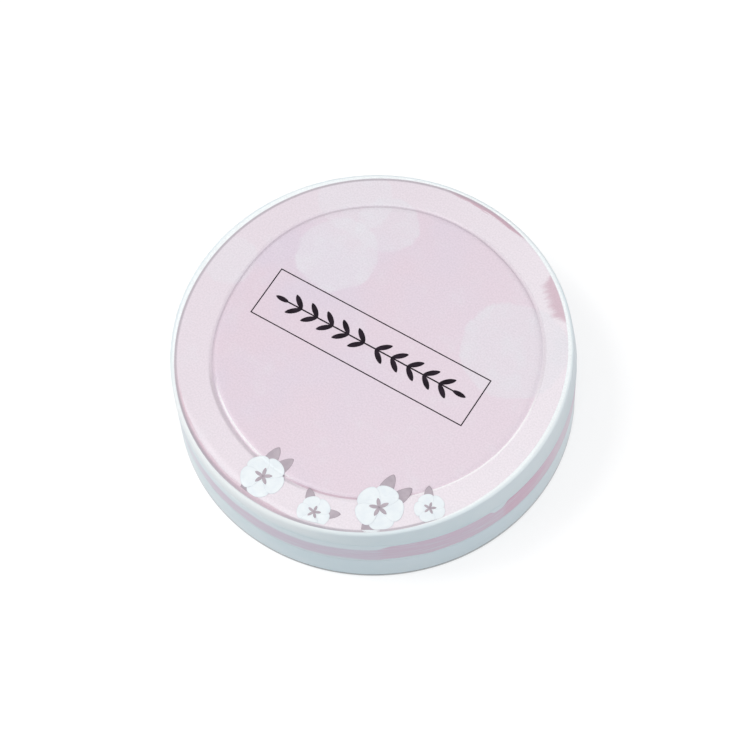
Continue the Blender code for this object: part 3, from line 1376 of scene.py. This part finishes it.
def leaf(length: float, width: float, bend: float = 0.0, steps: int = 48) -> Motif:
    """A pointed leaf from the origin along X.

    Its outline is x = length * (1 + cos a) / 2, y = width / 2 * sin a * |sin a| ** 0.35 + bend * x ** 2.

    Args:
        length: From stalk to tip.
        width: Across its middle.
        bend: How far the tip curves aside, per square metre of length.
        steps: Points of the outline.

    Returns:
        The leaf.
    """
    angle = np.arange(steps) * math.tau / steps
    x = 0.5 * length * (1.0 + np.cos(angle))
    y = 0.5 * width * np.sin(angle) * np.abs(np.sin(angle)) ** 0.35 + bend * x**2
    return Motif(np.stack([x, y], axis=1), (0.5 * length, 0.25 * bend * length**2), rings=24)


def bar(length: float, width: float, steps: int = 24) -> Motif:
    """A thin line of ink from the origin along X, as a long slot shape with rounded ends.

    Args:
        length: Its length.
        width: Its width.
        steps: Points of each rounded end.

    Returns:
        The line.
    """
    turn = np.linspace(-math.pi / 2, math.pi / 2, steps)
    end = np.stack([np.cos(turn), np.sin(turn)], axis=1) * width / 2
    return Motif(np.concatenate([end + (length, 0.0), -end]), (0.5 * length, 0.0), rings=1)


@dataclass(frozen=True)
class Blossom:
    """One painted blossom: where it stands on the lid and how large it is."""

    angle: float
    distance: float
    size: float
    turn: float
    leaves: tuple[float, ...]

    def place(self) -> Pair:
        """Its middle on the lid."""
        return toward(self.angle, self.distance)


@dataclass
class LabelPrint:
    """The ink on the film: a framed garland across the middle and a spray of blossoms at the front.

    The shares of a blossom's parts are their length and width over the blossom's size.
    """

    label: LidLabel
    ink_rise: float = 0.030 * MM
    layer_rise: float = 0.012 * MM
    ink_edge: float = 43.30 * MM
    frame_size: Pair = (54.8 * MM, 12.9 * MM)
    frame_centre: Pair = (-1.0 * MM, 0.3 * MM)
    frame_line: float = 0.26 * MM
    frame_steps: int = 24
    garland_pairs: int = 5
    garland_pitch: float = 4.1 * MM
    garland_start: float = 0.35
    garland_slant: float = 0.72
    garland_leaf: Pair = (3.9 * MM, 1.25 * MM)
    bud: Pair = (0.85, 0.9)
    stalk_past: float = 0.2
    stalk_width: float = 0.34 * MM
    petals: int = 5
    petal_shares: Pair = (1.0, 0.98)
    petal_layer: int = 3
    leaf_shares: Pair = (1.55, 0.62)
    leaf_bend: float = 20.0
    heart_shares: Pair = (0.42, 0.16)
    blossoms: tuple[Blossom, ...] = (
        Blossom(-96.0, 38.6 * MM, 4.9 * MM, 20.0, (150.0, 200.0, -20.0)),
        Blossom(-76.0, 41.0 * MM, 3.7 * MM, 65.0, (95.0, 215.0)),
        Blossom(-56.0, 38.2 * MM, 5.3 * MM, 5.0, (110.0, 165.0, -35.0)),
        Blossom(-40.5, 40.4 * MM, 3.4 * MM, 40.0, (-10.0, 170.0)),
    )

    def build(self) -> None:
        """Print every layer."""
        plum = PrintInk("plum_ink", paint(18, 8, 19), paint(38, 27, 39), paint(16, 7, 18)).make()
        white = PrintInk("white_ink", paint(243, 248, 250), paint(236, 242, 246), paint(226, 231, 236)).make()
        mauve = PrintInk("mauve_ink", paint(181, 169, 178), paint(194, 182, 190), paint(164, 150, 160)).make()
        self.lay("label_frame", self.frame_line_surface(), plum)
        self.lay("label_garland", self.garland(), plum)
        self.lay("label_leaves", self.leaves(), mauve)
        self.lay("label_petals", self.white_petals(), white)
        self.lay("label_hearts", self.hearts(), mauve)

    def lay(self, name: str, surface: Surface, ink: bpy.types.Material) -> None:
        """Make one ink layer a thin closed piece on the lid.

        Args:
            name: The piece's name.
            surface: Its upper face.
            ink: Its material.
        """
        piece = surface.piece(name, ink)
        depth = piece.modifiers.new("ink depth", "SOLIDIFY")
        depth.thickness = self.ink_rise
        depth.offset = -1.0
        seat(piece, Body.LID, Slot.LABEL)

    def frame_line_surface(self) -> Surface:
        """The frame: a rectangle's outline, mitred, as two rings of four corners with fine steps.

        Returns:
            Its upper face.
        """
        outer = np.array(self.frame_size) / 2.0
        inner = outer - self.frame_line
        corner = np.array([[-1.0, -1.0], [1.0, -1.0], [1.0, 1.0], [-1.0, 1.0]])
        share = np.linspace(0.0, 1.0, self.frame_steps, endpoint=False)[:, None]
        following = np.roll(corner, -1, axis=0)
        path = (corner[:, None, :] + share[None] * (following - corner)[:, None, :]).reshape(-1, 2)
        flat = np.concatenate([path * inner, path * outer]) + np.array(self.frame_centre)
        x, y = flat[:, 0], flat[:, 1]
        points = np.stack([x, y, self.label.ink_level(x, y) + self.ink_rise], axis=1)
        return Surface(points, [grid_faces(2, len(path), True)], {"reach": np.zeros(len(points))})

    def inked(self, shape: Motif, degrees: float, place: Pair, layer: int) -> Surface:
        """Lay one shape on the film at a place, turned by degrees, over so many layers of ink."""
        rise = self.ink_rise + self.layer_rise * layer
        return shape.laid(self.label, math.radians(degrees), place, rise, self.ink_edge)

    def garland(self) -> Surface:
        """The garland in the frame: a stalk with slanting leaf pairs that point away from the middle.

        Returns:
            Its upper face.
        """
        length, width = self.garland_leaf
        x, y = self.frame_centre
        reach = (self.garland_pairs + self.stalk_past) * self.garland_pitch
        slant = math.degrees(self.garland_slant)
        layers = [self.inked(bar(2.0 * reach, self.stalk_width), 0.0, (x - reach, y), 0)]
        for side, ahead in ((0.0, 1.0), (180.0, -1.0)):
            for pair in range(self.garland_pairs):
                along = (pair + self.garland_start) * self.garland_pitch * ahead
                for tilt in (-slant, slant):
                    layers.append(self.inked(leaf(length, width), side + tilt, (x + along, y), 1))
            bud = leaf(self.bud[0] * length, self.bud[1] * width)
            layers.append(self.inked(bud, side, (x + reach * ahead, y), 1))
        return joined(layers)

    def leaves(self) -> Surface:
        """The leaves behind the blossoms, which bend by turns to either side.

        Returns:
            Their upper faces.
        """
        layers = []
        for blossom in self.blossoms:
            length, width = (share * blossom.size for share in self.leaf_shares)
            for number, angle in enumerate(blossom.leaves):
                shape = leaf(length, width, self.leaf_bend * (-1) ** number)
                layers.append(self.inked(shape, blossom.angle + angle, blossom.place(), number))
        return joined(layers)

    def white_petals(self) -> Surface:
        """The white petals, each a hair above the one before, so that they overlap in order."""
        layers = [self.petal_layer + number for number in range(self.petals)]
        return self.star(petal, self.petal_shares, 0.0, layers)

    def hearts(self) -> Surface:
        """The small stars of short lines in the blossoms' middles, between the petals."""
        layers = [self.petal_layer + self.petals + 1] * self.petals
        return self.star(leaf, self.heart_shares, 0.5, layers)

    def star(
        self,
        shape_of: Callable[[float, float], Motif],
        shares: Pair,
        offset: float,
        layers: list[int],
    ) -> Surface:
        """Lay shapes all round each blossom's middle.

        Args:
            shape_of: Draws a shape of a length and a width.
            shares: Its length and width over the blossom's size.
            offset: How far the shapes are turned on from the petals, in steps from one petal to the next.
            layers: The layer of each shape round the blossom.

        Returns:
            All the shapes as one surface.
        """
        inked = []
        for blossom in self.blossoms:
            shape = shape_of(*(share * blossom.size for share in shares))
            for number, layer in enumerate(layers):
                degrees = blossom.turn + blossom.angle + 360.0 * (number + offset) / len(layers)
                inked.append(self.inked(shape, degrees, blossom.place(), layer))
        return joined(inked)


@dataclass
class Tub:
    """The white tub: floor, neck, shoulder, outer wall with the film's recess, and foot ring."""

    sizes: CaseSizes
    inner_fillet: float = 1.2 * MM
    edge_fillet: float = 0.25 * MM
    shoulder_drop: float = 0.21 * MM
    shoulder_fillet: float = 0.06 * MM
    recess_margin: float = 0.2 * MM
    gate_radius: float = 1.6 * MM
    gate_depth: float = 0.12 * MM

    def profile(self) -> Array:
        """The tub's section, from the floor's middle over the neck, down the side and under the foot.

        Returns:
            (radius, height) rows, down the outer side.
        """
        s = self.sizes
        neck = s.radius - s.wall - s.neck_clearance
        inner = neck - s.neck_wall
        shoulder_z = s.skirt_z - self.shoulder_drop
        recess_top, recess_bottom = s.band_top_z + self.recess_margin, s.band_bottom_z - self.recess_margin
        seat_radius = s.radius - s.film_seat
        foot_outer = s.radius - s.foot_fillet
        foot_inner = foot_outer - s.foot_ring
        edge, turn = self.edge_fillet, self.shoulder_fillet
        return profile_of(
            (0.0, s.floor_z),
            (inner - 1.5 * self.inner_fillet, s.floor_z),
            arc(inner - self.inner_fillet, s.floor_z + self.inner_fillet, self.inner_fillet, -90, 0, 10),
            arc(inner + edge, s.neck_top_z - edge, edge, 180, 90, 6),
            arc(neck - edge, s.neck_top_z - edge, edge, 90, 0, 6),
            (neck, shoulder_z),
            arc(s.radius - turn, shoulder_z - turn, turn, 90, 0, 5),
            (s.radius, recess_top),
            (seat_radius, recess_top),
            (seat_radius, recess_bottom),
            (s.radius, recess_bottom),
            arc(foot_outer, s.foot_fillet, s.foot_fillet, 0, -90, 12),
            arc(foot_inner, s.foot_recess, s.foot_recess, -90, -180, 6),
            (foot_inner - s.foot_recess, s.foot_recess),
            (2.0 * self.gate_radius, s.foot_recess),
            arc(self.gate_radius, s.foot_recess + self.gate_depth, self.gate_depth, 0, 90, 4),
            (0.0, s.foot_recess + 2.0 * self.gate_depth),
        )

    def build(self) -> None:
        """Make the tub."""
        finish = MouldedWhite("tub_moulding", paint(236, 243, 246), paint(229, 239, 243)).make()
        piece = turned(self.profile(), self.sizes.steps).piece("tub_moulding", finish)
        seat(piece, Body.TUB, Slot.TUB, "base_tub")


@dataclass
class WaistBand:
    """The painted film round the tub. It fills its recess."""

    sizes: CaseSizes
    overfill: float = 0.16 * MM
    edge_round: float = 0.08 * MM

    def build(self) -> None:
        """Make the film as a closed ring."""
        s = self.sizes
        top, bottom = s.band_top_z + self.overfill, s.band_bottom_z - self.overfill
        inner, edge = s.radius - s.film, self.edge_round
        profile = profile_of(
            arc(s.radius - edge, top - edge, edge, 90, 0, 4),
            arc(s.radius - edge, bottom + edge, edge, 0, -90, 4),
            (inner, bottom),
            (inner, top),
        )
        piece = turned(profile, s.steps, ring=True).piece("waist_film", PaintedBand().make())
        seat(piece, Body.TUB, Slot.BAND, "waist_band")


@dataclass
class TissueStack:
    """The round cotton tissues, each a soft sheet with pressed dots and an uneven edge."""

    sizes: CaseSizes
    count: int = 16
    thickness: float = 0.92 * MM
    dot_pitch: float = 3.2 * MM
    dot_depth: float = 0.14 * MM
    dot_sharpness: float = 3.0
    edge_power: int = 10
    edge_share: float = 0.03
    row_power: float = 0.8
    swell: float = 0.05 * MM
    swell_wavelength: float = 22.0 * MM
    swell_seed: int = 300
    fray: float = 0.45 * MM
    fray_lobes: tuple[int, int] = (3, 40)
    fray_seed: int = 100
    fine_from: int = 15
    fine_steps: tuple[int, int] = (280, 96)
    plain_steps: tuple[int, int] = (144, 26)

    def sheet(self, number: int, bottom: float) -> Surface:
        """One tissue: two faces that meet in a soft round edge.

        The half thickness is h * (1 - q ** power) ** 0.5 with q the share of the way to the edge. Each
        face is pressed in by dots, the product of two cosines on a grid turned by 45 degrees, raised to
        a power of its own.

        Args:
            number: Which tissue, from 1 at the floor.
            bottom: Height of its CAD sheet's lower face.

        Returns:
            The closed surface, with how deep each point is pressed.
        """
        steps, rows = self.fine_steps if number >= self.fine_from else self.plain_steps
        share = np.sin(np.linspace(0.0, np.pi / 2, rows)) ** self.row_power
        face, back = level_rows(share[:-1], 1.0), level_rows(share[-2::-1], -1.0)
        surface = turned(profile_of(face, (1.0, 0.0), back), steps)
        x, y, side = surface.points.T
        reach, angle = polar(x, y)
        draw = np.random.default_rng(self.fray_seed + number)
        lobes = np.arange(*self.fray_lobes)
        phase = draw.uniform(0.0, math.tau, len(lobes))
        strength = draw.uniform(0.3, 1.0, len(lobes)) / np.sqrt(lobes)
        frayed = (np.sin(angle[:, None] * lobes + phase) * strength).sum(axis=1) / strength.sum()
        radius = reach * (self.sizes.tissue_radius - self.fray * (0.5 + frayed))
        x, y = planar(radius, angle)
        grid = math.pi / self.dot_pitch
        dots = np.abs(np.cos(grid * (x + y)) * np.cos(grid * (x - y))) ** self.dot_sharpness
        pressed = dots * np.clip((1.0 - reach) / self.edge_share, 0.0, 1.0)
        half = 0.5 * self.thickness * np.sqrt(np.clip(1.0 - reach**self.edge_power, 0.0, 1.0))
        waves = ripples(x, y, self.swell_wavelength, self.swell_seed + number)
        swelled = self.swell * waves * (1.0 - reach**2)
        z = bottom + 0.5 * self.thickness + side * (half - self.dot_depth * pressed)
        points = np.stack([x, y, z + swelled], axis=1)
        return Surface(points, surface.faces, {"pressed": pressed})

    def build(self) -> None:
        """Make all the tissues and put each on its body."""
        finish = CottonFleece().make()
        for number in range(1, self.count + 1):
            node = f"cotton_tissue_{number:02d}"
            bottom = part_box(node)[0].z
            body = Body.TOP_TISSUE if number == self.count else Body.STACK
            piece = self.sheet(number, bottom).piece(f"tissue_{number:02d}", finish, crease_degrees=80.0)
            seat(piece, body, Slot.COTTON, node)


# The studio


@dataclass(frozen=True)
class Lamp:
    """A square studio lamp that faces the case. Its place is given from the camera's side."""

    name: str
    azimuth: float
    elevation: float
    watts: float
    size: float
    tint: Colour
    distance: float = 1.4

    def hang(self, turn: float) -> None:
        """Put the lamp up.

        Args:
            turn: The camera's azimuth, which the lamp's is added to, in degrees.
        """
        data = bpy.data.lights.new(self.name, "AREA")
        data.energy, data.size, data.color = self.watts, self.size, self.tint
        reach, height = toward(self.elevation, self.distance)
        holder = bpy.data.objects.new(self.name, data)
        holder.location = (*toward(self.azimuth + turn, reach), height)
        holder.rotation_euler = (-holder.location).to_track_quat("-Z", "Y").to_euler()
        bpy.context.scene.collection.objects.link(holder)


@dataclass
class Studio:
    """Floor, lights, white surroundings and the camera at the photograph's view."""

    azimuth: float = 36.06
    elevation: float = 63.17
    distance: float = 0.5994
    roll: float = -4.56
    field_of_view: float = 16.0
    aim: tuple[float, float, float] = (-0.02 * MM, 0.0, 8.84 * MM)
    floor_half: float = 1.5
    floor_drop: float = 0.02 * MM
    ambient: Colour = (0.415, 0.44, 0.455)
    lamps: tuple[Lamp, ...] = (
        Lamp("key_lamp", 165.0, 58.0, 8.1, 0.5, (1.0, 0.97, 0.945)),
        Lamp("top_lamp", 168.0, 86.0, 2.0, 0.8, (1.0, 0.96, 0.94)),
        Lamp("fill_lamp", -15.0, 28.0, 3.3, 0.8, (1.0, 0.93, 0.95)),
        Lamp("front_lamp", -85.0, 12.0, 2.3, 0.8, (0.80, 0.94, 1.0)),
        Lamp("side_lamp", -156.0, 28.0, 1.5, 0.35, (0.98, 1.0, 1.0)),
    )

    def build(self) -> None:
        """Set up the whole studio."""
        bpy.context.scene.view_settings.view_transform = "Standard"
        self.lay_floor()
        self.surround()
        for lamp in self.lamps:
            lamp.hang(self.azimuth)
        self.set_camera()

    def lay_floor(self) -> None:
        """The floor: one large square, a hair below the foot ring."""
        edge = np.array([-self.floor_half, self.floor_half])
        x, y = np.meshgrid(edge, edge, indexing="ij")
        points = np.stack([x.ravel(), y.ravel(), np.full(4, -self.floor_drop)], axis=1)
        floor = Surface(points, [grid_faces(2, 2, False)]).piece("floor", PaleFloor().make())

    def surround(self) -> None:
        """A plain sky that lights softly, and that camera, gloss and glass rays see as white."""
        world = bpy.data.worlds.new("studio")
        bpy.context.scene.world = world
        world.use_nodes = True
        work = NodeWork(world.node_tree)
        soft = work.tree.nodes["Background"]
        work.feed(soft.inputs["Color"], self.ambient)
        white = work.node("ShaderNodeBackground", {"Color": WHITE})
        shaders = {0: work.seen(), 1: soft.outputs[0], 2: white.outputs[0]}
        mixed = work.node("ShaderNodeMixShader", shaders)
        work.feed(work.tree.nodes["World Output"].inputs["Surface"], mixed.outputs[0])

    def set_camera(self) -> None:
        """Place the camera: it looks at the aim from the elevation, and is rolled about its own axis."""
        rise, roll = math.radians(self.elevation), math.radians(self.roll)
        ahead = Vector((0.0, math.cos(rise), -math.sin(rise)))
        right, up = Vector((1.0, 0.0, 0.0)), Vector((0.0, math.sin(rise), math.cos(rise)))
        across = math.cos(roll) * right + math.sin(roll) * up
        upright = math.cos(roll) * up - math.sin(roll) * right
        turn = Matrix.Rotation(math.radians(self.azimuth), 3, "Z")
        axes = turn @ Matrix((across, upright, -ahead)).transposed()
        data = bpy.data.cameras.new("photo_view")
        data.sensor_fit = "HORIZONTAL"
        data.angle = math.radians(self.field_of_view)
        camera = bpy.data.objects.new("photo_view", data)
        place = turn @ (Vector(self.aim) - ahead * self.distance)
        camera.matrix_world = Matrix.Translation(place) @ axes.to_4x4()
        bpy.context.scene.collection.objects.link(camera)
        bpy.context.scene.camera = camera


def main() -> None:
    """Build the studio and the case, piece by piece."""
    logging.basicConfig(level=logging.INFO, format="%(name)s %(message)s")
    Studio().build()
    sizes = CaseSizes.from_frame()
    LidShell(sizes).build()
    label = LidLabel(sizes)
    label.build()
    LabelPrint(label).build()
    Tub(sizes).build()
    WaistBand(sizes).build()
    TissueStack(sizes).build()


if __name__ == "__main__":
    main()
